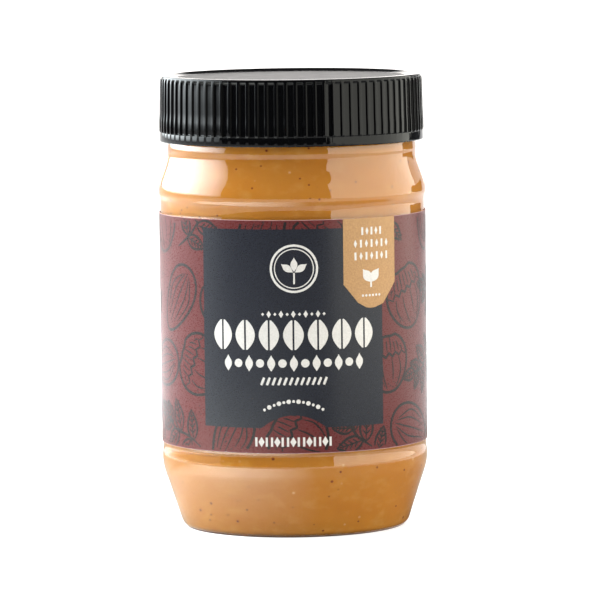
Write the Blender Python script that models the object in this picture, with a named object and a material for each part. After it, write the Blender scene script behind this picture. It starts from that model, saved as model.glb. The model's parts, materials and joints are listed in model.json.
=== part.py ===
# A shut jar of peanut butter: a clear jar with a tapered heel and two beads, a filling up into
# its neck, a wrap-round label in the recess between the beads, and a screw lid with upright ribs.
# Metres, +Z up. The axis is Z, and the foot ring stands on z = 0. The label's front faces -Y.

import math

import bmesh
import bpy

MM = 0.001

# Jar, outside
FACETS = 60
FOOT_INNER_R = 25.2 * MM
FOOT_OUTER_R = 29.28 * MM
HEEL_ROUND_R = 2.6 * MM
TAPER_SLOPE = 0.331
LOWER_BEAD_R = 36.9 * MM
LOWER_BEAD_Z = 19.4 * MM
LOWER_BEAD_RISE = 4.8 * MM
PANEL_R = 36.4 * MM
GROOVE_R = 36.6 * MM
LOWER_GROOVE_Z = 22.7 * MM
PANEL_LOW_Z = 23.4 * MM
PANEL_HIGH_Z = 88.1 * MM
UPPER_GROOVE_Z = 89.6 * MM
UPPER_BEAD_R = 37.05 * MM
UPPER_BEAD_Z = 93.1 * MM
NECK_R = 34.4 * MM
NECK_LOW_Z = 104.4 * MM
NECK_HIGH_Z = 107.0 * MM
FINISH_R = 33.7 * MM
FINISH_LOW_Z = 107.8 * MM
JAR_TOP_Z = 123.35 * MM

# Jar, inside
WALL = 0.8 * MM
FLOOR = 1.1 * MM
BORE_R = 32.6 * MM
INNER_HEEL_R = 28.8 * MM
INNER_HEEL_ROUND_R = 2.2 * MM

# Punt: the hollow under the base, with the floor of the jar following it
PUNT_EDGE_R = 23.4 * MM
PUNT_EDGE_Z = 1.6 * MM
PUNT_MIDDLE_R = 12.0 * MM
PUNT_MIDDLE_Z = 4.2 * MM
PUNT_TOP_Z = 5.0 * MM

# Filling
GAP = 0.3 * MM
FILL_Z = 113.0 * MM

# Label
LABEL_R = 37.0 * MM
LABEL_LOW_Z = 23.9 * MM
LABEL_HIGH_Z = 87.6 * MM

# Lid
RIBS = 86
RIB_CREST = 0.40
RIB_FOOT = 0.60
LID_LOW_Z = 107.3 * MM
LID_TOP_Z = 125.5 * MM
BAND_R = 36.5 * MM
BAND_HIGH_Z = 109.9 * MM
RIB_LOW_Z = 110.4 * MM
RIB_HIGH_Z = 124.3 * MM
CREST_LOW_R = 36.65 * MM
CREST_HIGH_R = 36.3 * MM
RIB_DEPTH = 0.55 * MM
RIM_CHAMFER = 0.25 * MM
RIM_INNER_R = 33.9 * MM
DISC_R = 31.7 * MM
DISC_DROP = 0.55 * MM
SKIRT_BORE_R = 34.9 * MM
LID_PLATE = 1.3 * MM

# Colours, as red, green and blue in linear light
CLEAR = (0.93, 0.94, 0.93)
PEANUT_BUTTER = (0.55, 0.24, 0.07)
LABEL_RED = (0.12, 0.03, 0.035)
LID_BLACK = (0.012, 0.012, 0.014)


def clear_scene():
    for obj in list(bpy.data.objects):
        bpy.data.objects.remove(obj, do_unlink=True)


def material(name, color, roughness, transmission=0.0):
    made = bpy.data.materials.new(name)
    made.use_nodes = True
    shader = made.node_tree.nodes["Principled BSDF"]
    shader.inputs["Base Color"].default_value = (*color, 1.0)
    shader.inputs["Roughness"].default_value = roughness
    shader.inputs["Metallic"].default_value = 0.0
    shader.inputs["Transmission Weight"].default_value = transmission
    made.diffuse_color = (*color, 1.0)
    return made


def add_object(name, bm, finish, sharp_deg=25):
    bmesh.ops.recalc_face_normals(bm, faces=bm.faces)
    mesh = bpy.data.meshes.new(name)
    bm.to_mesh(mesh)
    bm.free()
    mesh.materials.append(finish)
    mesh.shade_smooth()
    mesh.set_sharp_from_angle(angle=math.radians(sharp_deg))
    obj = bpy.data.objects.new(name, mesh)
    bpy.context.scene.collection.objects.link(obj)
    return obj


# Profiles: lists of (radius, height)


def eased(start, end, steps):
    """Points on an S curve that leaves start and reaches end upright, without start itself."""
    points = []
    for i in range(1, steps + 1):
        t = i / steps
        share = (1 - math.cos(math.pi * t)) / 2
        radius = start[0] + (end[0] - start[0]) * share
        points.append((radius, start[1] + (end[1] - start[1]) * t))
    return points


def heel_arc(foot_r, low_z, round_r, steps):
    """The rounded edge between the flat foot and the taper, from the foot up."""
    turn = math.pi / 2 - math.atan(TAPER_SLOPE)
    points = []
    for i in range(steps + 1):
        a = turn * i / steps
        points.append((foot_r + round_r * math.sin(a), low_z + round_r * (1 - math.cos(a))))
    return points


def bead_rise(bead_r, bead_z, rise, slope, steps):
    """The taper rounding over into the bead: a parabola that ends upright at the bead's crest."""
    points = []
    for i in range(steps + 1):
        below = rise * (1 - i / steps)
        points.append((bead_r - slope / (2 * rise) * below ** 2, bead_z - below))
    return points


def jar_outside():
    """From the middle of the base, over the foot and up the outside to the mouth."""
    points = [(0.0, PUNT_TOP_Z), (PUNT_MIDDLE_R, PUNT_MIDDLE_Z), (PUNT_EDGE_R, PUNT_EDGE_Z)]
    points += [(FOOT_INNER_R, 0.0)]
    points += heel_arc(FOOT_OUTER_R, 0.0, HEEL_ROUND_R, 3)
    points += bead_rise(LOWER_BEAD_R, LOWER_BEAD_Z, LOWER_BEAD_RISE, TAPER_SLOPE, 3)
    points += eased(points[-1], (GROOVE_R, LOWER_GROOVE_Z), 2)
    points += [(PANEL_R, PANEL_LOW_Z), (PANEL_R, PANEL_HIGH_Z), (GROOVE_R, UPPER_GROOVE_Z)]
    points += eased(points[-1], (UPPER_BEAD_R, UPPER_BEAD_Z), 2)
    points += eased(points[-1], (NECK_R, NECK_LOW_Z), 6)
    points += [(NECK_R, NECK_HIGH_Z), (FINISH_R, FINISH_LOW_Z), (FINISH_R, JAR_TOP_Z)]
    return points


def jar_inside(gap=0.0):
    """From the mouth down the inside to the middle of the floor; gap moves it in, for the filling."""
    inset = WALL + gap
    up = FLOOR + gap
    points = [(BORE_R - gap, JAR_TOP_Z), (BORE_R - gap, NECK_LOW_Z)]
    points += eased(points[-1], (UPPER_BEAD_R - inset, UPPER_BEAD_Z), 5)
    points += [(PANEL_R - inset, PANEL_HIGH_Z), (PANEL_R - inset, PANEL_LOW_Z)]
    points += [(LOWER_BEAD_R - inset, LOWER_BEAD_Z)]
    taper_top, taper_middle, _ = bead_rise(LOWER_BEAD_R - inset, LOWER_BEAD_Z, LOWER_BEAD_RISE, TAPER_SLOPE, 2)
    points += [taper_middle, taper_top]
    points += reversed(heel_arc(INNER_HEEL_R - gap, up, INNER_HEEL_ROUND_R, 2))
    points += [(FOOT_INNER_R - gap, up), (PUNT_EDGE_R - up, PUNT_EDGE_Z + up)]
    points += [(PUNT_MIDDLE_R, PUNT_MIDDLE_Z + up), (0.0, PUNT_TOP_Z + up)]
    return points


def fill_profile():
    """The filling: the level top, then the inside of the jar with a gap all round."""
    side = jar_inside(GAP)[1:]
    return [(0.0, FILL_Z), (BORE_R - GAP, FILL_Z)] + side


def turned(name, profile, finish, closed=False):
    """The profile turned about Z. It ends on the axis, or closed joins its ends into a ring."""
    bm = bmesh.new()
    verts = [bm.verts.new((radius, 0.0, z)) for radius, z in profile]
    edges = [bm.edges.new(pair) for pair in zip(verts, verts[1:])]
    if closed:
        edges.append(bm.edges.new((verts[-1], verts[0])))
    bmesh.ops.spin(
        bm, geom=verts + edges, cent=(0, 0, 0), axis=(0, 0, 1), angle=math.tau, steps=FACETS, use_merge=True
    )
    bmesh.ops.remove_doubles(bm, verts=bm.verts, dist=0.001 * MM)
    return add_object(name, bm, finish)


# Lid: round rings with one point a rib, and ribbed rings with four


def round_ring(bm, radius, z):
    return [
        bm.verts.new((radius * math.cos(math.tau * i / RIBS), radius * math.sin(math.tau * i / RIBS), z))
        for i in range(RIBS)
    ]


def ribbed_ring(bm, crest_r, z):
    """Four points a rib: the foot and the edge of its crest on one side, then on the other."""
    corners = (
        (-RIB_FOOT / 2, crest_r - RIB_DEPTH),
        (-RIB_CREST / 2, crest_r),
        (RIB_CREST / 2, crest_r),
        (RIB_FOOT / 2, crest_r - RIB_DEPTH),
    )
    ring = []
    for i in range(RIBS):
        for share, radius in corners:
            a = math.tau * (i + share) / RIBS
            ring.append(bm.verts.new((radius * math.cos(a), radius * math.sin(a), z)))
    return ring


def join_equal(bm, low, high):
    count = len(low)
    for i in range(count):
        j = (i + 1) % count
        bm.faces.new((low[i], low[j], high[j], high[i]))


def join_fan(bm, smooth, ribbed):
    """Joins a round ring to a ribbed one: each round point to its rib's four."""
    for i in range(RIBS):
        j = (i + 1) % RIBS
        own = ribbed[4 * i : 4 * i + 4]
        for near, far in zip(own, own[1:]):
            bm.faces.new((smooth[i], near, far))
        bm.faces.new((smooth[i], own[3], ribbed[4 * j], smooth[j]))


def cap_ring(bm, ring, z):
    middle = bm.verts.new((0.0, 0.0, z))
    for i in range(len(ring)):
        bm.faces.new((ring[i], ring[(i + 1) % len(ring)], middle))


def build_lid(finish):
    bm = bmesh.new()
    valley_low_r = CREST_LOW_R - RIB_DEPTH
    valley_high_r = CREST_HIGH_R - RIB_DEPTH
    ceiling_z = LID_TOP_Z - DISC_DROP - LID_PLATE
    bore_high = round_ring(bm, SKIRT_BORE_R, ceiling_z)
    bore_low = round_ring(bm, SKIRT_BORE_R, LID_LOW_Z)
    band_low = round_ring(bm, BAND_R, LID_LOW_Z)
    band_high = round_ring(bm, BAND_R, BAND_HIGH_Z)
    groove = round_ring(bm, valley_low_r, RIB_LOW_Z - 0.1 * MM)
    ribs_low = ribbed_ring(bm, CREST_LOW_R, RIB_LOW_Z)
    ribs_high = ribbed_ring(bm, CREST_HIGH_R, RIB_HIGH_Z)
    edge = round_ring(bm, valley_high_r, LID_TOP_Z - RIM_CHAMFER)
    rim_outer = round_ring(bm, valley_high_r - RIM_CHAMFER, LID_TOP_Z)
    rim_inner = round_ring(bm, RIM_INNER_R, LID_TOP_Z)
    disc = round_ring(bm, DISC_R, LID_TOP_Z - DISC_DROP)
    cap_ring(bm, bore_high, ceiling_z)
    for low, high in ((bore_high, bore_low), (bore_low, band_low), (band_low, band_high), (band_high, groove)):
        join_equal(bm, low, high)
    join_fan(bm, groove, ribs_low)
    join_equal(bm, ribs_low, ribs_high)
    join_fan(bm, edge, ribs_high)
    for low, high in ((edge, rim_outer), (rim_outer, rim_inner), (rim_inner, disc)):
        join_equal(bm, low, high)
    cap_ring(bm, disc, LID_TOP_Z - DISC_DROP)
    return add_object("lid", bm, finish)


def main():
    clear_scene()
    turned("jar", jar_outside() + jar_inside(), material("clear_jar", CLEAR, 0.03, 1.0))
    turned("peanut_butter", fill_profile(), material("peanut_butter", PEANUT_BUTTER, 0.45))
    label_inner_r = PANEL_R + GAP
    label = [
        (label_inner_r, LABEL_LOW_Z),
        (LABEL_R, LABEL_LOW_Z),
        (LABEL_R, LABEL_HIGH_Z),
        (label_inner_r, LABEL_HIGH_Z),
    ]
    turned("label", label, material("label_print", LABEL_RED, 0.35), closed=True)
    build_lid(material("lid_black", LID_BLACK, 0.2))


main()
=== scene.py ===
import json
import math
import random
import bpy
import numpy as np
from mathutils import Matrix, Vector

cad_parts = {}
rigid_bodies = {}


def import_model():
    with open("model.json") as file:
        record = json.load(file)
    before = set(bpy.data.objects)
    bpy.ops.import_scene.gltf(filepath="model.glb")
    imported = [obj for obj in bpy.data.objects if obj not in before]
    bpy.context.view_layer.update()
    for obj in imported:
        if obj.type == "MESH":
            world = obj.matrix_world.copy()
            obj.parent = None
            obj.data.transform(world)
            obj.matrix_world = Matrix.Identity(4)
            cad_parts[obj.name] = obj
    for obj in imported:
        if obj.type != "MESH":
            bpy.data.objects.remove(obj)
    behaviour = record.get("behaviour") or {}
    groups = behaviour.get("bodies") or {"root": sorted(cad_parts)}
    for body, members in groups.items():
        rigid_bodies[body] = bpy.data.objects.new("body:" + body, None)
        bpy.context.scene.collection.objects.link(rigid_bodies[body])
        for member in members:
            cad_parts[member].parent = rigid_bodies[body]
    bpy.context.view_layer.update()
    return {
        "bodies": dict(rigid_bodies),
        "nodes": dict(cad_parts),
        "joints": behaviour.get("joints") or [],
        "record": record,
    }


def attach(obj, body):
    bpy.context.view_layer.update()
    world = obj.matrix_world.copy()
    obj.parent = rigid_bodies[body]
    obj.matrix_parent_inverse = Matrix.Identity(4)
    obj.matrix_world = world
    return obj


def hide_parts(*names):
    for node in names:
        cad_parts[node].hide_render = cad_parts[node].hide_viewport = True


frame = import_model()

mm = 0.001  # shapes below are given in millimetres
wallStep = 0.4  # mm between the rows of a curved wall
random.seed(11)


def report(text):
    print("jar:", text)


# (radius, height) rows of a smooth curve through measured (height, radius) points
def smoothWall(knots):
    z, r = zip(*knots)
    n = len(z)
    spans, change = np.zeros((n, n)), np.zeros(n)
    spans[0, 0] = spans[-1, -1] = 1
    for i in range(1, n - 1):
        low, high = z[i] - z[i - 1], z[i + 1] - z[i]
        spans[i, i - 1:i + 2] = low, 2 * (low + high), high
        change[i] = 6 * ((r[i + 1] - r[i]) / high - (r[i] - r[i - 1]) / low)
    bend = np.linalg.solve(spans, change)
    rows = []
    count = max(2, round((z[-1] - z[0]) / wallStep))
    for s in range(count + 1):
        h = z[0] + (z[-1] - z[0]) * s / count
        i = min(max(k for k in range(n) if z[k] <= h + 1e-9), n - 2)
        span, up, down = z[i + 1] - z[i], h - z[i], z[i + 1] - h
        radius = (bend[i] * down ** 3 + bend[i + 1] * up ** 3) / (6 * span)
        radius += (r[i] / span - bend[i] * span / 6) * down
        radius += (r[i + 1] / span - bend[i + 1] * span / 6) * up
        rows.append((float(radius), h))
    return rows


# points of an arc in the (radius, height) plane, between two angles in degrees
def arc(r, z, size, start, end, steps):
    angles = [math.radians(start + (end - start) * i / steps) for i in range(steps + 1)]
    return [(r + size * math.cos(t), z + size * math.sin(t)) for t in angles]


# spins a (radius, height) outline round the axis; radiusAt and turnAt may place each column by itself
def spin(outline, columns, radiusAt=None, turnAt=None):
    verts, rings = [], []
    for row, (r, z) in enumerate(outline):
        if r < 1e-6:
            rings.append([len(verts)])
            verts.append((0, 0, z))
            continue
        rings.append(list(range(len(verts), len(verts) + columns)))
        for i in range(columns):
            t = turnAt(i) if turnAt else 2 * math.pi * i / columns
            rr = radiusAt(row, i) if radiusAt else r
            verts.append((rr * math.sin(t), -rr * math.cos(t), z))
    faces = []
    for low, high in zip(rings, rings[1:]):
        for i in range(columns):
            j = (i + 1) % columns
            corners = (low[i % len(low)], low[j % len(low)], high[j % len(high)], high[i % len(high)])
            faces.append(tuple(dict.fromkeys(corners)))
    return verts, faces


# makes one piece that rides on the jar; slots are material numbers for its faces
def addPiece(name, verts, faces, materials, hides=None, crease=None, slots=None):
    mesh = bpy.data.meshes.new(name)
    mesh.from_pydata([(x * mm, y * mm, z * mm) for x, y, z in verts], [], faces)
    for material in materials:
        mesh.materials.append(material)
    if slots:
        mesh.polygons.foreach_set("material_index", slots)
    mesh.shade_smooth()
    if crease:
        mesh.set_sharp_from_angle(angle=math.radians(crease))
    piece = bpy.data.objects.new(name, mesh)
    bpy.context.scene.collection.objects.link(piece)
    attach(piece, "root")
    if hides:
        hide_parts(hides)
    report(f"{name}: {len(faces)} faces")


# a new material: its node tree, its shader and object coordinates
def newMaterial(name, colour, roughness, ior=1.5):
    material = bpy.data.materials.new(name)
    material.use_nodes = True
    tree = material.node_tree
    shader = tree.nodes["Principled BSDF"]
    shader.inputs["Base Color"].default_value = (*colour, 1)
    shader.inputs["Roughness"].default_value = roughness
    shader.inputs["IOR"].default_value = ior
    place = tree.nodes.new("ShaderNodeTexCoord").outputs["Object"]
    return material, tree, shader, place


# stretched coordinates, for streaks and drawn-out clouds
def stretched(tree, place, scale):
    node = tree.nodes.new("ShaderNodeMapping")
    node.inputs["Scale"].default_value = scale
    tree.links.new(place, node.inputs["Vector"])
    return node.outputs["Vector"]


def noise(tree, place, size, detail, roughness=0.5):
    node = tree.nodes.new("ShaderNodeTexNoise")
    node.inputs["Scale"].default_value = 1 / (size * mm)
    node.inputs["Detail"].default_value = detail
    node.inputs["Roughness"].default_value = roughness
    tree.links.new(place, node.inputs["Vector"])
    return node.outputs["Fac"]


# turns one range of a value into another
def between(tree, value, low, high, newLow, newHigh):
    node = tree.nodes.new("ShaderNodeMapRange")
    for key, number in (("From Min", low), ("From Max", high), ("To Min", newLow), ("To Max", newHigh)):
        node.inputs[key].default_value = number
    tree.links.new(value, node.inputs["Value"])
    return node.outputs["Result"]


def combined(tree, operation, first, second):
    node = tree.nodes.new("ShaderNodeMath")
    node.operation = operation
    tree.links.new(first, node.inputs[0])
    tree.links.new(second, node.inputs[1])
    return node.outputs[0]


def mixColour(tree, amount, first, second):
    node = tree.nodes.new("ShaderNodeMix")
    node.data_type = "RGBA"
    for key, colour in (("A", first), ("B", second)):
        socket = [s for s in node.inputs if s.name == key and s.type == "RGBA"][0]
        if isinstance(colour, tuple):
            socket.default_value = (*colour, 1)
        else:
            tree.links.new(colour, socket)
    tree.links.new(amount, node.inputs["Factor"])
    return [s for s in node.outputs if s.type == "RGBA"][0]


# adds a bump on top of those that the shader has
def addBump(tree, shader, height, depth, strength):
    node = tree.nodes.new("ShaderNodeBump")
    node.inputs["Distance"].default_value = depth * mm
    node.inputs["Strength"].default_value = strength
    tree.links.new(height, node.inputs["Height"])
    before = shader.inputs["Normal"].links
    if before:
        tree.links.new(before[0].from_socket, node.inputs["Normal"])
    tree.links.new(node.outputs["Normal"], shader.inputs["Normal"])


# the clear jar; lengths in mm, the two walls as (height, radius) and the rest as (radius, height)
jarShape = {
    "columns": 240,
    "wall": 0.8, "floor": 1.1,
    "punt": ((0, 5.0), (6, 4.85), (12, 4.2), (17, 3.2), (21, 2.2), (23.4, 1.4), (24.6, 0.5)),
    "foot": (25.2, 29.28),  # inner and outer radius of the ring that it stands on
    "heel": (2.6, -18.3),  # radius of the round heel, and the angle where the wall takes over
    "lower": ((1.78, 31.75), (4, 32.485), (7, 33.478), (10, 34.47), (13, 35.463), (14.6, 35.99), (15.6, 36.3),
              (16.6, 36.57), (17.8, 36.79), (19.2, 36.9), (20.4, 36.87), (21.6, 36.73), (22.6, 36.63),
              (23.4, 36.6), (24.1, 36.63), (25.2, 36.83)),
    "recess": (36.86, 23.9, 87.6),  # radius, low and high of the straight wall under the label
    "upper": ((86.6, 36.83), (87.4, 36.7), (88.1, 36.64), (89.4, 36.61), (90.5, 36.62), (91.5, 36.73),
              (92.3, 36.95), (93.1, 37.05), (94.0, 37.03), (95.0, 36.91), (96.0, 36.69), (97.2, 36.32),
              (98.4, 35.9), (100, 35.33), (101.2, 34.93), (102.2, 34.64), (102.8, 34.5), (103.3, 34.42),
              (103.9, 34.4), (104.5, 34.45), (105.0, 34.5), (105.5, 34.5), (106.1, 34.44), (106.8, 34.35),
              (107.4, 34.26)),
    "neckTop": ((33.9, 107.75), (33.7, 108.1)),
    "mouth": (33.7, 32.6, 123.35),  # outer and inner radius of the rim, and its height
    "rimRound": ((0, 0.5), (0.15, 0.13), (0.5, 0)),  # how far in and down each point of the rim's edge is
    "innerFoot": ((25.3, 0.14), (27.2, 0)),  # the inside's own floor, heights over the floor's top
    "innerHeel": (28.8, 2.2),  # middle and radius of the round between floor and wall
    "innerSpan": (4, 106.6),  # heights between which the inside follows the outside
    "innerNeck": ((33.3, 107.3), (32.9, 108.3), (32.6, 109.3)),
}
jarLook = {"ior": 1.56, "roughness": (0.02, 0.05), "scuff": 1.2, "wave": 24, "waveDepth": 0.05}


# the straight wall under the label
def recessRows(inset=0.0):
    radius, low, high = jarShape["recess"]
    return [(radius - inset, low + (high - low) * i / 8) for i in range(1, 8)]


def jarOutside():
    inner, outer = jarShape["foot"]
    size, lean = jarShape["heel"]
    rows = list(jarShape["punt"]) + [(inner, 0)] + arc(outer, size, size, -90, lean, 8)
    rows += smoothWall(jarShape["lower"])[1:] + recessRows() + smoothWall(jarShape["upper"])
    return rows + list(jarShape["neckTop"])


# the inside of the wall; proud moves it into the wall
def jarInside(proud=0.0):
    wall, rise = jarShape["wall"] - proud, jarShape["floor"] - proud
    across, size = jarShape["innerHeel"]
    low, high = jarShape["innerSpan"]
    rows = [(r, z + rise) for r, z in jarShape["punt"][:-1] + jarShape["innerFoot"]]
    rows += arc(across + proud, rise + size, size, -80, -20, 5)
    rows += [(r - wall, z) for r, z in smoothWall(jarShape["lower"]) if z > low]
    rows += recessRows(wall)
    rows += [(r - wall, z) for r, z in smoothWall(jarShape["upper"]) if z < high]
    return rows + [(r + proud, z) for r, z in jarShape["innerNeck"]]


def makeJar():
    material, tree, shader, place = newMaterial("clearPlastic", (1, 1, 1), 0.03, jarLook["ior"])
    shader.inputs["Transmission Weight"].default_value = 1
    addBump(tree, shader, noise(tree, place, jarLook["wave"], 1.5), jarLook["waveDepth"], 0.6)
    scuffs = noise(tree, stretched(tree, place, (1, 1, 0.25)), jarLook["scuff"], 5)
    tree.links.new(between(tree, scuffs, 0.5, 0.75, *jarLook["roughness"]), shader.inputs["Roughness"])
    outer, bore, top = jarShape["mouth"]
    rim = [(outer - inward, top - down) for inward, down in jarShape["rimRound"]]
    rim += [(bore + inward, top - down) for inward, down in jarShape["rimRound"][::-1]]
    verts, faces = spin(jarOutside() + rim + jarInside()[::-1], jarShape["columns"])
    addPiece("jarWall", verts, faces, [material], hides="jar", crease=50)


# the filling, pressed against the wall
butterShape = {
    "columns": 200,
    "proud": 0.07,  # how far it reaches into the wall
    "fillHeight": 113.0,
    "edge": ((0, 2), (0, 0.8), (0.2, 0.3)),  # how far in and down its round upper edge runs
    "rings": 26,
    # the spoon swirl on top: depth, turn in radians for each mm, and mm that it fades over at rim and middle
    "swirlDepth": 1.6, "swirlTwist": 3.2 / 6.5, "swirlFade": (4, 5),
}
butterLook = {
    "tone": (0.62, 0.266, 0.036), "paleTone": (0.66, 0.32, 0.062), "deepTone": (0.6, 0.245, 0.029),
    "speck": (0.17, 0.028, 0.018), "chip": (0.72, 0.45, 0.17),
    # mm between dots, their radius in that unit, the share of them left out, and their colour
    "dots": ((2.5, 0.17, 0.6, "speck"), (5.2, 0.11, 0.5, "speck"), (4.6, 0.12, 0.7, "chip")),
    "ior": 1.46, "roughness": (0.38, 0.6),
    "shine": 0.06,  # it is wetted to the wall, which does the shining
}


def butterMaterial():
    material, tree, shader, place = newMaterial("peanutButter", butterLook["tone"], 0.45, butterLook["ior"])
    shader.inputs["Specular IOR Level"].default_value = butterLook["shine"]
    broad = between(tree, noise(tree, stretched(tree, place, (1, 1, 2.2)), 14, 3), 0.35, 0.65, 0, 1)
    colour = mixColour(tree, broad, butterLook["deepTone"], butterLook["tone"])
    cloudy = between(tree, noise(tree, stretched(tree, place, (1, 1, 1.6)), 5, 4), 0.52, 0.72, 0, 0.8)
    colour = mixColour(tree, cloudy, colour, butterLook["paleTone"])
    for size, radius, leftOut, tint in butterLook["dots"]:
        cells = tree.nodes.new("ShaderNodeTexVoronoi")
        cells.inputs["Scale"].default_value = 1 / (size * mm)
        tree.links.new(stretched(tree, place, (1, 1, 1.15)), cells.inputs["Vector"])
        dot = between(tree, cells.outputs["Distance"], radius * 0.55, radius, 1, 0)
        split = tree.nodes.new("ShaderNodeSeparateColor")
        tree.links.new(cells.outputs["Color"], split.inputs["Color"])
        kept = between(tree, split.outputs["Red"], leftOut, leftOut + 0.1, 0, 0.85)
        colour = mixColour(tree, combined(tree, "MULTIPLY", dot, kept), colour, butterLook[tint])
    tree.links.new(colour, shader.inputs["Base Color"])
    addBump(tree, shader, noise(tree, place, 3.2, 3), 0.25, 0.5)
    addBump(tree, shader, noise(tree, place, 0.7, 2), 0.04, 0.5)
    uneven = between(tree, noise(tree, place, 2, 2), 0.3, 0.7, *butterLook["roughness"])
    tree.links.new(uneven, shader.inputs["Roughness"])
    return material


def makeButter():
    fill, bore = butterShape["fillHeight"], jarShape["mouth"][1] + butterShape["proud"]
    side = jarInside(butterShape["proud"])
    side += [(bore - inward, fill - down) for inward, down in butterShape["edge"]]
    rings = butterShape["rings"]
    top = [(bore * (1 - i / rings), fill) for i in range(1, rings)]
    verts, faces = spin(side + top + [(0, fill)], butterShape["columns"])
    rimFade, middleFade = butterShape["swirlFade"]
    swirled = []
    for x, y, z in verts:
        r = math.hypot(x, y)
        if abs(z - fill) < 1e-6:
            turn = math.atan2(x, -y) + r * butterShape["swirlTwist"]
            fade = min(1, (bore - r) / rimFade) * min(1, r / middleFade)
            z -= butterShape["swirlDepth"] * fade * (0.5 + 0.5 * math.sin(turn))
        swirled.append((x, y, z))
    butter = butterMaterial()
    addPiece("peanutButter", swirled, faces, [butter], hides="peanut_butter", crease=50)


# the ribbed screw lid
lidShape = {
    "ribs": 86,
    "turn": 1.8,  # degrees from the front to the middle of the first rib
    # along one rib: share of the pitch, and share of the rib's height
    "ribForm": ((0, 0), (0.25, 0), (0.282, 0.03), (0.302, 0.16), (0.322, 0.5), (0.342, 0.84), (0.362, 0.97),
                (0.395, 1), (0.5, 1), (0.605, 1), (0.638, 0.97), (0.658, 0.84), (0.678, 0.5), (0.698, 0.16),
                (0.718, 0.03), (0.75, 0)),
    "side": (  # height, radius on a rib, radius between ribs
        (107.3, 36.33, 36.33), (107.33, 36.45, 36.45), (107.42, 36.51, 36.51), (107.6, 36.53, 36.53),
        (109.7, 36.53, 36.53), (109.9, 36.52, 36.47), (109.97, 36.57, 36.33), (110.02, 36.62, 36.18),
        (110.12, 36.65, 36.14), (110.4, 36.66, 36.14), (112.7, 36.66, 36.14), (113.7, 36.6, 36.1),
        (114.7, 36.53, 36.05), (116.0, 36.49, 36.01), (118.6, 36.46, 35.98), (122.0, 36.38, 35.9),
        (123.6, 36.34, 35.86), (124.05, 36.31, 35.86), (124.36, 36.26, 35.87), (124.5, 36.22, 35.93),
        (124.6, 36.18, 36.03), (124.7, 36.14, 36.1), (125.1, 36.06, 36.06), (125.3, 36.0, 36.0),
        (125.43, 35.88, 35.88), (125.5, 35.68, 35.68)),
    "top": ((34.15, 125.5), (33.98, 125.46), (33.75, 125.36), (32.4, 124.83), (32.1, 124.76), (31.75, 124.74),
            (26, 124.74), (14, 124.74), (0, 124.74)),
    "inside": ((0, 123.7), (33, 123.7), (34.6, 123.65), (34.85, 123.3), (34.9, 122.5), (34.9, 107.6),
               (35.1, 107.3)),
    "disc": (32.2, 124.7),  # the satin disc lies inside this radius and over this height
}
lidLook = {
    "black": (0.0012, 0.0012, 0.0015), "shine": 0.17,
    "sideRoughness": (0.03, 0.06), "sideGrain": 0.004,
    "discRoughness": (0.37, 0.42), "discGrain": 0.012,
}


def lidMaterial(name, roughness, grain):
    material, tree, shader, place = newMaterial(name, lidLook["black"], roughness[0])
    shader.inputs["Specular IOR Level"].default_value = lidLook["shine"]
    cloudy = noise(tree, stretched(tree, place, (1, 1, 0.4)), 5, 5, 0.6)
    tree.links.new(between(tree, cloudy, 0.35, 0.7, *roughness), shader.inputs["Roughness"])
    addBump(tree, shader, noise(tree, place, 0.35, 2), grain, 0.6)
    addBump(tree, shader, noise(tree, place, 9, 1), 0.03, 0.6)
    return material


def makeLid():
    form, ribs = lidShape["ribForm"], lidShape["ribs"]
    rows = [(r, r, z) for r, z in lidShape["inside"]]
    rows += [(crest, valley, z) for z, crest, valley in lidShape["side"]]
    rows += [(r, r, z) for r, z in lidShape["top"]]

    def radiusAt(row, column):
        crest, valley, z = rows[row]
        return valley + (crest - valley) * form[column % len(form)][1]

    # the columns are bunched at the rib edges
    def turnAt(column):
        rib, part = divmod(column, len(form))
        return 2 * math.pi * (rib + form[part][0] - 0.5) / ribs + math.radians(lidShape["turn"])

    outline = [(crest, z) for crest, valley, z in rows]
    verts, faces = spin(outline, len(form) * ribs, radiusAt, turnAt)
    reach, low = lidShape["disc"]
    slots = []
    for face in faces:
        corners = [verts[v] for v in face]
        onDisc = all(z > low and math.hypot(x, y) < reach for x, y, z in corners)
        slots.append(int(onDisc))
    gloss = lidMaterial("lidGloss", lidLook["sideRoughness"], lidLook["sideGrain"])
    satin = lidMaterial("lidDisc", lidLook["discRoughness"], lidLook["discGrain"])
    addPiece("lidShell", verts, faces, [gloss, satin], hides="lid", crease=60, slots=slots)


# the wrap-round label; u runs round the jar from its front and v is the height, both in mm
labelShape = {
    "radius": 37.0, "thick": 0.12,
    "low": 23.9, "high": 87.6,
    "columns": 264,
    "overlap": 5.0,  # the end that is glued over the start, at the back
    "ramp": 3.0, "climb": 0.135,  # over this length that end rises by this much
    "edge": 0.14,  # unprinted strip along the top and bottom
    "edgeRound": (0.06, 0.03),  # how far up and in the cut edge is rounded
    "margin": 0.3,  # line drawings stay this far off the edge
    "inkDepth": 0.02,  # how far ink reaches into the sheet
    "facet": 0.8,  # widest flat part of an ink shape, so that it follows the round label
    "panel": (-26.6, 26.4, 30.9, 85.1),  # left, right, low, high
    "notch": (-9.1, 8.8, 34.4),  # left, right, top
    "table": (-108.0, -77.0, 31.0, 80.5),
    "backPanel": (77.0, 107.0, 30.9, 80.5),
    "flag": ((14.05, 69.6), (18.4, 64.5), (21.0, 63.15), (22.3, 62.95), (23.6, 63.0), (26.7, 63.9),
             (31.35, 69.6)),
}
inkLook = {
    "red": (0.088, 0.0098, 0.0094), "line": (0.008, 0.004, 0.004), "navy": (0.005, 0.0062, 0.0126),
    "tan": (0.36, 0.198, 0.08), "pale": (0.56, 0.535, 0.505), "paper": (0.38, 0.22, 0.2),
    "shine": 0.3,
    # roughness of coated ink, of pale ink and of the bare paper
    "satin": (0.25, 0.32), "dull": (0.4, 0.52), "bare": (0.5, 0.65),
}
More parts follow.
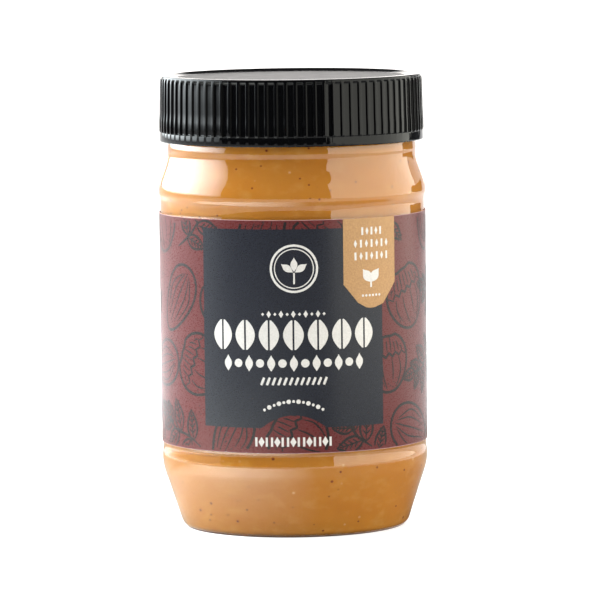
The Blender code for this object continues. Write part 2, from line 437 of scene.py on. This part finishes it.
# the printed pieces: material, colour, mm that the ink stands out, roughness, and how speckled it is
printLayers = {
    "labelDrawings": ("labelLine", "line", 0.02, inkLook["satin"], 0.0),
    "labelPanel": ("labelNavy", "navy", 0.04, inkLook["satin"], 0.0),
    "labelTable": ("labelTablePaper", "pale", 0.04, inkLook["dull"], 0.0),
    "tableRules": ("labelRules", "navy", 0.055, (0.3, 0.4), 0.0),
    "labelFlag": ("labelTan", "tan", 0.07, (0.4, 0.55), 0.06),
    "labelMarks": ("labelPale", "pale", 0.055, inkLook["dull"], 0.0),
    "flagMarks": ("flagPale", "pale", 0.085, inkLook["dull"], 0.0),
}
turnLength = 2 * math.pi * labelShape["radius"]


def inkMaterial(name, colour, roughness, speckle=0.0):
    material, tree, shader, place = newMaterial(name, colour, roughness[0])
    shader.inputs["Specular IOR Level"].default_value = inkLook["shine"]
    fibre = noise(tree, stretched(tree, place, (1, 1, 2.5)), 0.5, 4)
    tree.links.new(between(tree, fibre, 0.3, 0.7, *roughness), shader.inputs["Roughness"])
    darker = tuple(c * (0.9 - speckle) for c in colour)
    lighter = tuple(min(1, c * (1.06 + speckle)) for c in colour)
    grain = between(tree, noise(tree, place, 0.45, 3, 0.7), 0.35, 0.65, 0, 1)
    tree.links.new(mixColour(tree, grain, darker, lighter), shader.inputs["Base Color"])
    addBump(tree, shader, noise(tree, place, 0.3, 3), 0.006, 0.5)
    addBump(tree, shader, noise(tree, place, 16, 2), 0.08, 0.5)  # slow waves of a glued sheet
    return material


class inkLayer:  # collects thin closed strips on the label, all of one ink
    def __init__(self, name):
        material, colour, lift, roughness, speckle = printLayers[name]
        self.name = name
        self.material = inkMaterial(material, inkLook[colour], roughness, speckle)
        self.low = labelShape["radius"] - labelShape["inkDepth"]
        self.high = labelShape["radius"] + lift
        self.verts, self.faces = [], []

    # a flat closed shape between two edges, with enough rows across to follow the round label
    def strip(self, lower, upper, closed=False):
        n, start = len(lower), len(self.verts)
        across = max(abs(a[0] - b[0]) for a, b in zip(lower, upper))
        rows = 1 + int(across / labelShape["facet"])
        for radius in (self.high, self.low):
            for row in range(rows + 1):
                for (u0, v0), (u1, v1) in zip(lower, upper):
                    t = (u0 + (u1 - u0) * row / rows) / labelShape["radius"]
                    v = v0 + (v1 - v0) * row / rows
                    self.verts.append((radius * math.sin(t), -radius * math.cos(t), v))
        under, last = (rows + 1) * n, start + rows * n  # step to the underside, start of the last row
        for i in range(n if closed else n - 1):
            j = (i + 1) % n
            for a in range(start, last, n):
                b, c, d = a + n, a + under, a + n + under
                self.faces += [(a + i, a + j, b + j, b + i), (c + j, c + i, d + i, d + j)]
            a, b, c, d = start, last, start + under, last + under
            self.faces += [(c + i, c + j, a + j, a + i), (b + i, b + j, d + j, d + i)]
        if not closed:
            end = n - 1
            for a in range(start, last, n):
                b, c, d = a + n, a + under, a + n + under
                self.faces += [(a, b, d, c), (b + end, a + end, c + end, d + end)]

    # a line of given width through points; it may taper to its ends
    def stroke(self, points, width, taper=True, closed=False):
        if not closed:
            for part in clipped(points):
                self.strokePart(part, width, taper)
        elif all(onLabel(v) for u, v in points):
            self.strokePart(points, width, False, True)
        else:
            self.stroke(points + points[:1], width, False)

    def strokePart(self, points, width, taper, closed=False):
        n, left, right = len(points), [], []
        for i, (u, v) in enumerate(points):
            before = points[i - 1] if i or closed else points[i]
            after = points[(i + 1) % n] if i < n - 1 or closed else points[i]
            du, dv = after[0] - before[0], after[1] - before[1]
            size = math.hypot(du, dv) or 1
            half = width / 2
            if taper:
                half *= 0.35 + 0.65 * math.sin(math.pi * min(0.93, max(0.07, i / (n - 1))))
            left.append((u - dv / size * half, v + du / size * half))
            right.append((u + dv / size * half, v - du / size * half))
        self.strip(right, left, closed)

    def disc(self, u, v, radius, steps=10):
        turn = [math.pi * (0.02 + 0.96 * i / steps) for i in range(steps + 1)]
        lower = [(u - radius * math.cos(t), v - radius * math.sin(t)) for t in turn]
        upper = [(u - radius * math.cos(t), v + radius * math.sin(t)) for t in turn]
        self.strip(lower, upper)

    # a flat form turned by an angle: half widths along its length
    def form(self, u, v, halves, length, angle=90):
        n = len(halves)
        c, s = math.cos(math.radians(angle)), math.sin(math.radians(angle))
        lower, upper = [], []
        for i, half in enumerate(halves):
            along = length * (i / (n - 1) - 0.5)
            lower.append((u + along * c + half * s, v + along * s - half * c))
            upper.append((u + along * c - half * s, v + along * s + half * c))
        self.strip(lower, upper)

    def diamond(self, u, v, half, length):
        self.form(u, v, [0.02, half, 0.02], length)

    # a plain box, bent round the jar
    def box(self, left, right, low, high):
        places = [left + (right - left) * i / 40 for i in range(41)]
        self.strip([(u, low) for u in places], [(u, high) for u in places])

    def make(self):
        addPiece(self.name, self.verts, self.faces, [self.material], crease=40)


def onLabel(v):
    return labelShape["low"] + labelShape["margin"] < v < labelShape["high"] - labelShape["margin"]


# the parts of a line that lie on the label
def clipped(points):
    parts = [[]]
    for u, v in points:
        if onLabel(v):
            parts[-1].append((u, v))
        else:
            parts.append([])
    return [part for part in parts if len(part) > 1]


def makeLabel():
    columns, overlap, edge = labelShape["columns"], labelShape["overlap"], labelShape["edge"]
    low, high = labelShape["low"], labelShape["high"]
    up, inward = labelShape["edgeRound"]
    half = turnLength / 2 + overlap / 2
    heights = [low, low + up, low + edge] + [low + (high - low) * i / 8 for i in range(1, 8)]
    heights += [high - edge, high - up, high]
    rows = len(heights)
    verts, faces, slots = [], [], []
    n = columns + 1
    for back in (0, 1):
        for row, v in enumerate(heights):
            for i in range(n):
                u = -half + 2 * half * i / columns
                climbed = min(1, max(0, (u - (half - overlap - labelShape["ramp"])) / labelShape["ramp"]))
                r = labelShape["radius"] + climbed * labelShape["climb"] - back * labelShape["thick"]
                r -= inward * (row in (0, rows - 1)) * (1 - back)
                t = u / labelShape["radius"]
                verts.append((r * math.sin(t), -r * math.cos(t), v))
    under = rows * n
    for row in range(rows - 1):
        for i in range(columns):
            a = row * n + i
            b = a + under
            faces += [(a, a + 1, a + n + 1, a + n), (b + 1, b, b + n, b + n + 1)]
            slots += [int(row in (0, 1, rows - 2, rows - 3)), 1]
    for i in range(columns):
        top = (rows - 1) * n + i
        faces += [(i + under, i + under + 1, i + 1, i), (top, top + 1, top + under + 1, top + under)]
        slots += [1, 1]
    for row in range(rows - 1):
        a = row * n
        b = a + columns
        faces += [(a, a + n, a + n + under, a + under), (b + n, b, b + under, b + n + under)]
        slots += [1, 1]
    red = inkMaterial("labelRed", inkLook["red"], inkLook["satin"])
    paper = inkMaterial("labelPaper", inkLook["paper"], inkLook["bare"])
    addPiece("labelSheet", verts, faces, [red, paper], hides="label", crease=40, slots=slots)


# line drawings on the red: nuts, leaf sprigs, seeds and dots; lengths in mm
drawing = {
    "line": 0.78, "fine": 0.47, "dash": 0.3995,  # widths
    "columns": 12, "rows": 4,
    "size": (17.0, 20.5), "jitter": (1.6, 1.4),
    "inset": (3.5, 2.5),  # from the label's edges to the lowest and highest row
    "reach": 0.62,  # share of its size that a drawing may reach from its middle
    "seam": 8.0,  # drawings stay this far off the label's ends
    "dots": (9, 0.96, 0.14, 0.26), "dotsRise": 5.2,  # count, spread, half length and width
}


# a smooth line through a few points
def curve(points, steps):
    full = [points[0]] + list(points) + [points[-1]]
    made = []
    for i in range(1, len(full) - 2):
        p0, p1, p2, p3 = full[i - 1:i + 3]
        for s in range(steps):
            t = s / steps
            made.append(tuple(0.5 * (2 * b + (c - a) * t + (2 * a - 5 * b + 4 * c - d) * t * t
                                     + (3 * b - a - 3 * c + d) * t ** 3)
                              for a, b, c, d in zip(p0, p1, p2, p3)))
    return made + [points[-1]]


# a pen that draws in units of a drawing's size, turned and moved to its place on the label
def penAt(ink, u, v, size, angle):
    c, s = math.cos(angle), math.sin(angle)

    def put(points, width, taper=True, closed=False):
        placed = [(u + size * (x * c - y * s), v + size * (x * s + y * c)) for x, y in points]
        ink.stroke(placed, width, taper, closed)
    return put


# a round nut with a wavy cap, hatched
def drawNut(put):
    body = []
    for i in range(30):
        t = 2 * math.pi * i / 30
        tip = 0.05 * (abs(t - math.pi) < 0.4)
        body.append((0.5 * math.sin(t) * (1 - 0.1 * math.cos(t)), -0.5 * math.cos(t) - tip))
    put(body, drawing["line"], False, True)
    put([(-0.49 + 0.98 * i / 24, 0.12 + 0.035 * math.sin(i * 1.57)) for i in range(25)], drawing["line"])
    for i in range(9):
        x = -0.38 + 0.095 * i
        top = 0.46 * math.sqrt(max(0, 1 - (x / 0.5) ** 2))
        end = (x * 0.82, top * (0.8 + 0.12 * (i % 2)))
        put([(x, 0.17), (x * 0.93, 0.17 + (top - 0.17) * 0.5), end], drawing["fine"])
    for i, x in enumerate((-0.3, -0.12, 0.1, 0.28)):
        points = [(x, 0.06), (x * 1.12, -0.12), (x * 0.9, -0.3), (x * 0.55, -0.42)]
        put(curve(points[:3 + i % 2], 4), drawing["fine"])
    for i in range(22):  # short dashes along the lower edge
        t, r = -0.35 - 0.115 * i, 0.44 - 0.035 * (i % 3)
        end = ((r - 0.03) * math.cos(t - 0.06), (r - 0.03) * math.sin(t - 0.06))
        put([(r * math.cos(t), r * math.sin(t)), end], drawing["dash"])


# a bent stem with paired leaves and their veins
def drawSprig(put):
    put(curve([(-0.05, -0.62), (0.02, -0.25), (-0.02, 0.1), (0.06, 0.42)], 5), drawing["line"])
    leaves = ((0.0, -0.34, 0.42, 25), (0.0, -0.3, 0.42, 158), (0.01, -0.05, 0.46, 38), (0.0, 0.0, 0.44, 145),
              (0.02, 0.2, 0.36, 55), (0.03, 0.24, 0.34, 128), (0.06, 0.4, 0.34, 84))
    for x, y, long, lean in leaves:
        c, s = math.cos(math.radians(lean)), math.sin(math.radians(lean))

        def along(t, side):
            return (x + long * (t * c - side * s), y + long * (t * s + side * c))
        for side in (-1, 1):
            edge = [along(t / 8, side * 0.24 * math.sin(math.pi * (t / 8) ** 0.8)) for t in range(9)]
            put(edge, drawing["line"])
        put([along(t / 6 * 0.9, 0) for t in range(7)], drawing["fine"])
        for t in (0.22, 0.4, 0.58, 0.74):
            for side in (-1, 1):
                vein = [along(t, 0), along(t + 0.1, side * 0.085), along(t + 0.16, side * 0.15)]
                put(vein, drawing["fine"])


# a plump drop with long curved lines and short dashes
def drawSeed(put):
    edge = []
    for i in range(28):
        t = 2 * math.pi * i / 28
        edge.append((0.3 * math.sin(t) * (1 + 0.25 * math.cos(t)), -0.5 * math.cos(t)))
    put(edge, drawing["line"], False, True)
    for x in (-0.2, -0.11, 0.0, 0.1, 0.19):
        top = 0.38 - abs(x) * 0.7
        put(curve([(x * 0.4, -0.42 + abs(x) * 0.3), (x * 1.15, -0.1), (x * 0.8, top)], 5), drawing["fine"])
    for i in range(34):  # the dashes are thicker toward one side
        x, y = random.uniform(-0.24, 0.26), random.uniform(-0.4, 0.36)
        if (x / 0.27) ** 2 + (y / 0.46) ** 2 < 0.9 and random.random() < 0.45 + 1.8 * x:
            put([(x, y), (x + 0.02, y + 0.035)], drawing["dash"])


def drawDots(ink, u, v):
    count, spread, half, width = drawing["dots"]
    for i in range(count):
        angle, r = i * 2.4, spread * math.sqrt(i)
        x, y = u + r * math.cos(angle), v + r * math.sin(angle)
        ink.stroke([(x - half, y), (x + half, y)], width, False)


# each kind of drawing with its share of the size and of the turn
drawingKinds = ((drawNut, 0.92, 0.2), (drawSprig, 1.0, 1), (drawSeed, 1.05, 1))


def drawPattern(ink):
    columns, rows = drawing["columns"], drawing["rows"]
    cell = turnLength / columns
    left, right, low, high = labelShape["panel"]
    lowest, highest = labelShape["low"] + drawing["inset"][0], labelShape["high"] - drawing["inset"][1]
    across, up = drawing["jitter"]
    count = 0
    for row in range(rows):
        for k in range(columns):
            u = -turnLength / 2 + cell * (k + 0.5 * (row % 2)) + random.uniform(-across, across)
            v = lowest + (highest - lowest) * row / (rows - 1) + random.uniform(-up, up)
            angle = random.uniform(0, 2 * math.pi)
            size = random.uniform(*drawing["size"])
            draw, scale, turned = drawingKinds[(k + 2 * row) % 3]
            reach = size * drawing["reach"]
            hidden = left + reach < u < right - reach and low + reach < v < high - reach
            if hidden or abs(u) > turnLength / 2 - drawing["seam"]:
                continue
            draw(penAt(ink, u, v, size * scale, angle * turned))
            drawDots(ink, u + cell * 0.5, v + drawing["dotsRise"])
            count += 1
    report(f"{count} drawings")


# the navy panel with its notch, and the one on the back
def addPanels(ink):
    left, right, low, high = labelShape["panel"]
    notchLeft, notchRight, notchTop = labelShape["notch"]
    middle, reach = (notchLeft + notchRight) / 2, (notchRight - notchLeft) / 2
    places = [left + (right - left) * i / 160 for i in range(161)]
    lower = [(u, low + (notchTop - low) * max(0, 1 - ((u - middle) / reach) ** 2)) for u in places]
    ink.strip(lower, [(u, high) for u in places])
    ink.box(*labelShape["backPanel"])


def addTable(ink):
    ink.box(*labelShape["table"])


def addFlag(ink):
    corners = labelShape["flag"]
    lower = []
    for (u0, v0), (u1, v1) in zip(corners, corners[1:]):
        lower += [(u0 + (u1 - u0) * s / 4, v0 + (v1 - v0) * s / 4) for s in range(4)]
    lower.append(corners[-1])
    ink.strip(lower, [(u, labelShape["high"] - 0.02) for u, v in lower])


# the blank table; places are measured from its frame, down from the top or up from the bottom
tableForm = {
    "margin": 1.6,  # from the edge of the pale ground to the frame
    "frame": 0.35, "indent": 1.6,
    "rules": ((7.4, 1.2), (15.4, 0.7)), "lowRule": (8.6, 1.2),  # place and thickness
    "title": (19.5, 5.2, 2.6),  # right end, bottom and top
    # groups of bars: count, first place, pitch, thickness, and where the shortest and longest end
    "lines": (3, 10.2, 2.1, 0.95, 7, 15),
    "rows": (6, 18.6, 2.95, 0.9, 8, 14),
    "notes": (3, 6.0, 2.0, 0.8, 2, 9),
    "step": 1.4,  # every third row starts further in
    "amounts": (4.2, 5.6),  # where the short bars at the right end of a row start
    "hairline": (1.2, 1.1, 0.97),  # how far in from the sides, and down to its lower and upper edge
}


# a frame, thick and thin rules, and short bars of many lengths
def addRules(ink):
    margin, frame, indent = tableForm["margin"], tableForm["frame"], tableForm["indent"]
    left, right, low, high = labelShape["table"]
    left, right, low, high = left + margin, right - margin, low + margin, high - margin
    for u in (left, right - frame):
        ink.box(u, u + frame, low, high)
    rules = [(low, frame), (high - frame, frame)]
    rules += [(high - down, thick) for down, thick in tableForm["rules"]]
    rise, thick = tableForm["lowRule"]
    rules.append((low + rise, thick))
    for v, thick in rules:
        ink.box(left, right, v, v + thick)
    end, bottom, top = tableForm["title"]
    ink.box(left + indent, left + end, high - bottom, high - top)
    count, first, pitch, thick, short, long = tableForm["lines"]
    for row in range(count):
        v = high - first - pitch * row
        ink.box(left + indent, left + random.uniform(short, long), v, v + thick)
    count, first, pitch, thick, short, long = tableForm["rows"]
    side, under, over = tableForm["hairline"]
    for row in range(count):
        v = high - first - pitch * row
        start = left + indent + tableForm["step"] * (row % 3 == 1)
        ink.box(start, left + random.uniform(short, long), v, v + thick)
        ink.box(right - random.uniform(*tableForm["amounts"]), right - indent, v, v + thick)
        ink.box(left + side, right - side, v - under, v - over)
    count, first, pitch, thick, short, long = tableForm["notes"]
    for row in range(count):
        v = low + first - pitch * row
        ink.box(left + indent, right - random.uniform(short, long), v, v + thick)


# the pale marks; places in mm from the middle of the front, heights from the ground
marks = {
    "medallion": (0.3, 74.4),
    "rings": ((6.3, 0.62), (5.3, 0.28)),  # radius and width of the medallion's two rings
    "sprout": {"middle": (0.3, 73.2), "angles": (90, 145, 35), "reach": 2.3, "wide": 0.95, "long": 3.9,
               "stem": (-3.0, 0.1), "line": 0.45},
    # rows: count, first place, pitch, height
    "diamonds": (11, -8.4, 1.68, 62.0), "leaves": (13, -18.6, 3.1, 48.6),
    "dashes": (12, -8.6, 1.56, 43.7), "bars": (15, -10.6, 1.46, 27.1),
    "kernels": (7, -20.2, 6.72, 56.3), "kernel": (2.55, 8.1, 0.26),  # half width, length, half of the gap
    "arc": (13, -0.2, 8.0, 38.2, 2.3),  # count, middle, reach to each side, height, drop at the ends
}
# marks on the back panel, from its middle and down from its top
backMarks = {
    "sprout": {"middle": (0, -10.2), "angles": (90, 145, 35), "reach": 2.3, "wide": 0.95, "long": 3.9,
               "stem": (-2.4, 0.6), "line": 0.45},
    "diamonds": (9, -9.6, 2.4, -18.5),
    "lines": (-24.2, 2.7, 0.75), "reaches": (9.3, 11.4, 10.2, 11.8, 10.7, 11.3, 6.6),
}
flagMarks = {
    "middle": 22.9, "rows": ((84.0, 3.0), (80.6, 5.2), (77.2, 5.2)), "pitch": 1.5,
    "sprout": {"middle": (22.6, 70.2), "angles": (128, 52), "reach": 2.0, "wide": 1.35, "long": 4.6,
               "stem": (-1.6, 0.8), "line": 0.55},
    "dots": (6, 19.9, 1.1, 66.4),
}
leafForm = [0.02, 0.3, 0.62, 0.86, 0.98, 0.98, 0.84, 0.55, 0.24, 0.02]


# number, place and height of each mark in a row
def placesOf(count, first, pitch, height):
    return [(i, first + pitch * i, height) for i in range(count)]


# a few leaves that fan out over a short stem
def addSprout(ink, sprout, u=0.0, v=0.0):
    u, v = u + sprout["middle"][0], v + sprout["middle"][1]
    leaf = [half * sprout["wide"] for half in leafForm]
    for angle in sprout["angles"]:
        c, s = math.cos(math.radians(angle)), math.sin(math.radians(angle))
        ink.form(u + c * sprout["reach"], v + s * sprout["reach"], leaf, sprout["long"], angle)
    low, high = sprout["stem"]
    ink.stroke([(u, v + low), (u, v + high)], sprout["line"], False)


def addFrontMarks(ink):
    middle, height = marks["medallion"]
    turn = [2 * math.pi * i / 48 for i in range(48)]
    for radius, width in marks["rings"]:
        ring = [(middle + radius * math.cos(t), height + radius * math.sin(t)) for t in turn]
        ink.stroke(ring, width, False, True)
    addSprout(ink, marks["sprout"])
    for i, u, v in placesOf(*marks["diamonds"]):
        ink.diamond(u, v, 0.62 if i % 2 else 0.42, 1.9 if i % 2 else 0.9)
    # the bold row: kernels, each split by a line
    wide, length, gap = marks["kernel"]
    for i, u, v in placesOf(*marks["kernels"]):
        for side in (-1, 1):
            inner, outer = [], []
            for s in range(15):
                half = wide * math.sin(math.pi * (0.03 + 0.94 * s / 14)) ** 0.8
                along = v + length * (s / 14 - 0.5)
                inner.append((u + side * gap, along))
                outer.append((u + side * (gap + half), along))
            ink.strip(*((outer, inner) if side > 0 else (inner, outer)))
    for i, u, v in placesOf(*marks["leaves"]):  # leaves and discs in turn
        if i % 2:
            ink.disc(u, v, 1.15)
        else:
            ink.form(u, v, [half * 1.1 for half in leafForm], 4.4)
    for i, u, v in placesOf(*marks["dashes"]):
        ink.form(u, v, [0.3, 0.34, 0.34, 0.3], 2.2, 68)
    # an arc of dots over the notch
    count, middle, reach, height, drop = marks["arc"]
    for i in range(count):
        t = -1 + 2 * i / (count - 1)
        ink.disc(middle + reach * t, height - drop * t * t, 0.62 if i % 2 else 0.4, 6)
    for i, u, v in placesOf(*marks["bars"]):  # the line under the panel
        if i % 3 == 1:
            ink.diamond(u, v, 0.85, 2.7)
        else:
            ink.form(u, v, [0.3, 0.3], 2.5)


def addBackMarks(ink):
    left, right, low, high = labelShape["backPanel"]
    middle = (left + right) / 2
    addSprout(ink, backMarks["sprout"], middle, high)
    for i, u, v in placesOf(*backMarks["diamonds"]):
        ink.diamond(middle + u, high + v, 0.55 if i % 2 else 0.36, 1.7 if i % 2 else 0.9)
    first, pitch, thick = backMarks["lines"]
    for row, reach in enumerate(backMarks["reaches"]):
        v = high + first - pitch * row
        ink.box(middle - reach, middle + reach, v, v + thick)


def addMarks(ink):
    addFrontMarks(ink)
    addBackMarks(ink)


def addFlagMarks(ink):
    for row, (v, width) in enumerate(flagMarks["rows"]):
        count = int(width * 2 / flagMarks["pitch"])
        for i in range(count + 1):
            u = flagMarks["middle"] - width + 2 * width * i / count
            ink.form(u, v, [0.02, 0.5, 0.02] if (i + row) % 2 else [0.3, 0.3], 2.1)
    addSprout(ink, flagMarks["sprout"])
    for i, u, v in placesOf(*flagMarks["dots"]):
        ink.disc(u, v, 0.34, 6)


# each printed piece and what draws it
def makePrint():
    for name, draw in (("labelDrawings", drawPattern), ("labelPanel", addPanels), ("labelTable", addTable),
                       ("tableRules", addRules), ("labelFlag", addFlag), ("labelMarks", addMarks),
                       ("flagMarks", addFlagMarks)):
        ink = inkLayer(name)
        draw(ink)
        ink.make()


# the room: floor, cards, lights and camera; sizes in metres, azimuth in degrees from the front to the right
studio = {
    "world": 1.02, "worldTone": (1, 0.995, 0.985),
    "floorTone": (0.5, 0.5, 0.5), "floorGlow": 0.66,
    # painted shadow under the jar: the floor is dark brown under the jar, with its glow gone there too, and
    # turns pale between these two distances from its middle
    "footShadowTone": (0.08, 0.016, 0.003), "footShade": (0.0298, 0.0308),
    # cards that the camera doesn't see: dark ones round the front and back, and a glowing one overhead
    "frontCard": ((-2.3, -0.95, -0.3), (2.3, -0.95, -0.3), (2.3, -0.95, 1.3), (-2.3, -0.95, 1.3)),
    "topCard": ((-2.3, -0.95, 1.3), (2.3, -0.95, 1.3), (2.3, 0.35, 1.3), (-2.3, 0.35, 1.3)),
    "backCard": ((-2.3, 0.35, 1.3), (2.3, 0.35, 1.3), (2.3, 3.2, 1.3), (-2.3, 3.2, 1.3)),
    "sideCard": ((0.6, 0.39, 0.035), (0.36, 0.62, 0.035), (0.36, 0.62, 0.15), (0.6, 0.39, 0.15)),
    "cardTone": (0.02, 0.02, 0.022), "topGlow": 2.0,
    # what the heel of the jar reflects of the floor close by: bright toward the left light, dim elsewhere,
    # and dimmer close to the foot, a painted shade
    "nearFloor": {"inner": 0.0309, "outer": 0.24, "height": 0.0004, "azimuth": -70, "spread": (0.1, 0.95),
                  "radiance": (0.5, 6.6), "back": 0.45, "contact": 0.075, "colour": (0.95, 0.99, 0.92)},
    # radiance runs from the light's left end over its middle to its right end
    "softLeft": {"azimuth": -108, "distance": 0.6, "low": 0.082, "high": 0.75, "fade": 0.06,
                 "width": 1.2, "radiance": (6.5, 16, 2.7), "colour": (0.9, 0.975, 1)},
    "softRight": {"azimuth": 83, "distance": 0.62, "low": 0.0, "high": 0.65, "fade": 0.01,
                  "width": 1.478, "radiance": (3.5, 3.5, 4.0), "colour": (0.96, 0.96, 0.87)},
    "backGlow": {"azimuth": 180, "distance": 2.6, "low": 0.02, "high": 0.9, "fade": 0.01,
                 "width": 1.6, "radiance": (2.5, 2.7, 2.5), "colour": (1, 0.965, 0.935)},
}
cameraPlace = {
    "aim": (0.00185, 0.0, 0.06243), "distance": 1.40304,
    "down": 5.32, "roll": -0.66,  # degrees
    "lens": 302.3, "sensor": 36,
}


def aroundJar(azimuth, distance, height):
    a = math.radians(azimuth)
    return Vector((distance * math.sin(a), -distance * math.cos(a), height))


# a sheet of the studio, which is no part of the jar
def addStage(name, verts, faces, material):
    mesh = bpy.data.meshes.new(name)
    mesh.from_pydata(verts, [], faces)
    mesh.materials.append(material)
    sheet = bpy.data.objects.new(name, mesh)
    bpy.context.scene.collection.objects.link(sheet)
    return sheet


def addSheet(name, corners, material):
    return addStage(name, corners, [(0, 1, 2, 3)], material)


def alongAxis(tree, place, axis):
    split = tree.nodes.new("ShaderNodeSeparateXYZ")
    tree.links.new(place, split.inputs["Vector"])
    return split.outputs[axis]


def fromMiddle(tree, place):
    node = tree.nodes.new("ShaderNodeVectorMath")
    node.operation = "LENGTH"
    tree.links.new(place, node.inputs[0])
    return node.outputs["Value"]


# a glowing sheet that faces the jar, unseen by the camera; its light runs from one end to the other
def addSoftbox(name, box):
    half, rise = box["width"] / 2, (box["high"] - box["low"]) / 2
    material, tree, shader, place = newMaterial(name, (0, 0, 0), 1)
    shader.inputs["Emission Color"].default_value = (*box["colour"], 1)
    first, middle, last = box["radiance"]
    sideways = alongAxis(tree, place, "X")
    left = between(tree, sideways, -half, 0, first, middle)
    right = between(tree, sideways, 0, half, 0, last - middle)
    rising = between(tree, alongAxis(tree, place, "Z"), -rise, box["fade"] - rise, 0.1, 1)
    total = combined(tree, "MULTIPLY", combined(tree, "ADD", left, right), rising)
    tree.links.new(total, shader.inputs["Emission Strength"])
    sheet = addSheet(name, [(-half, 0, -rise), (half, 0, -rise), (half, 0, rise), (-half, 0, rise)], material)
    sheet.location = aroundJar(box["azimuth"], box["distance"], (box["low"] + box["high"]) / 2)
    sheet.rotation_euler = (0, 0, math.radians(box["azimuth"]))
    sheet.visible_camera = False


# the floor as the jar's gloss sees it, in a ring round the foot
def addNearFloor(box):
    material, tree, shader, place = newMaterial("nearFloor", (0, 0, 0), 1)
    shader.inputs["Emission Color"].default_value = (*box["colour"], 1)
    unit, side = (tree.nodes.new("ShaderNodeVectorMath") for i in range(2))
    unit.operation, side.operation = "NORMALIZE", "DOT_PRODUCT"
    side.inputs[1].default_value = aroundJar(box["azimuth"], 1, 0)
    tree.links.new(place, unit.inputs[0])
    tree.links.new(unit.outputs["Vector"], side.inputs[0])
    sunny = between(tree, side.outputs["Value"], *box["spread"], *box["radiance"])
    # painted shade: the ring's glow drops to 0.15 of its strength toward the foot
    contact = between(tree, fromMiddle(tree, place), box["inner"], box["contact"], 0.15, 1)
    forward = alongAxis(tree, place, "Y")
    behind = between(tree, forward, -0.045, 0.04, 1, 0.2)
    front = combined(tree, "MULTIPLY", combined(tree, "MULTIPLY", sunny, contact), behind)
    total = combined(tree, "ADD", front, between(tree, forward, 0, 0.06, 0, box["back"]))
    tree.links.new(total, shader.inputs["Emission Strength"])
    steps = 72
    verts = [aroundJar(360 * i / steps, r, 0) for r in (box["inner"], box["outer"]) for i in range(steps)]
    faces = [(i, steps + i, steps + (i + 1) % steps, (i + 1) % steps) for i in range(steps)]
    ring = addStage("nearFloor", verts, faces, material)
    ring.location.z = box["height"]
    ring.visible_camera = ring.visible_shadow = ring.visible_diffuse = ring.visible_transmission = False


def makeFloor():
    material, tree, shader, place = newMaterial("floorPaper", studio["floorTone"], 0.6)
    tree.links.new(between(tree, noise(tree, place, 3, 3), 0.3, 0.7, 0.55, 0.7), shader.inputs["Roughness"])
    shader.inputs["Emission Color"].default_value = (1, 1, 1, 1)
    away = fromMiddle(tree, place)
    # painted shadow under the jar: there the floor turns dark brown and its glow drops to nothing
    lit = between(tree, away, *studio["footShade"], 0, 1)
    tree.links.new(mixColour(tree, lit, studio["footShadowTone"], studio["floorTone"]), shader.inputs["Base Color"])
    glowing = between(tree, away, *studio["footShade"], 0, studio["floorGlow"])
    tree.links.new(glowing, shader.inputs["Emission Strength"])
    addSheet("floor", [(-7, -0.9, 0), (7, -0.9, 0), (7, 9, 0), (-7, 9, 0)], material)


def makeLights():
    world = bpy.data.worlds.new("studioWorld")
    bpy.context.scene.world = world
    world.use_nodes = True
    background = world.node_tree.nodes["Background"]
    background.inputs["Color"].default_value = (*studio["worldTone"], 1)
    background.inputs["Strength"].default_value = studio["world"]
    dark = newMaterial("darkCard", studio["cardTone"], 0.8)[0]
    glow, tree, shader, place = newMaterial("glowCard", studio["cardTone"], 0.8)
    shader.inputs["Emission Color"].default_value = (1, 1, 1, 1)
    shader.inputs["Emission Strength"].default_value = studio["topGlow"]
    for name, material in (("frontCard", dark), ("topCard", glow), ("backCard", dark), ("sideCard", dark)):
        addSheet(name, studio[name], material).visible_camera = False
    for name in ("softLeft", "softRight", "backGlow"):
        addSoftbox(name, studio[name])
    addNearFloor(studio["nearFloor"])


def makeCamera():
    down, roll = math.radians(cameraPlace["down"]), math.radians(cameraPlace["roll"])
    forward = Vector((0, math.cos(down), -math.sin(down)))
    right = Vector((1, 0, 0))
    up = right.cross(forward)
    sideways = right * math.cos(roll) + up * math.sin(roll)
    upright = up * math.cos(roll) - right * math.sin(roll)
    camera = bpy.data.objects.new("camera", bpy.data.cameras.new("camera"))
    bpy.context.scene.collection.objects.link(camera)
    place = Vector(cameraPlace["aim"]) - forward * cameraPlace["distance"]
    axes = Matrix((sideways, upright, -forward)).transposed().to_4x4()
    camera.matrix_world = Matrix.Translation(place) @ axes
    camera.data.lens = cameraPlace["lens"]
    camera.data.sensor_width = cameraPlace["sensor"]
    camera.data.clip_end = 30
    bpy.context.scene.camera = camera


makeJar()
makeButter()
makeLid()
makeLabel()
makePrint()

bpy.context.scene.view_settings.view_transform = "Standard"
bpy.context.scene.cycles.use_denoising = True
makeFloor()
makeLights()
makeCamera()
report("studio and camera are set")
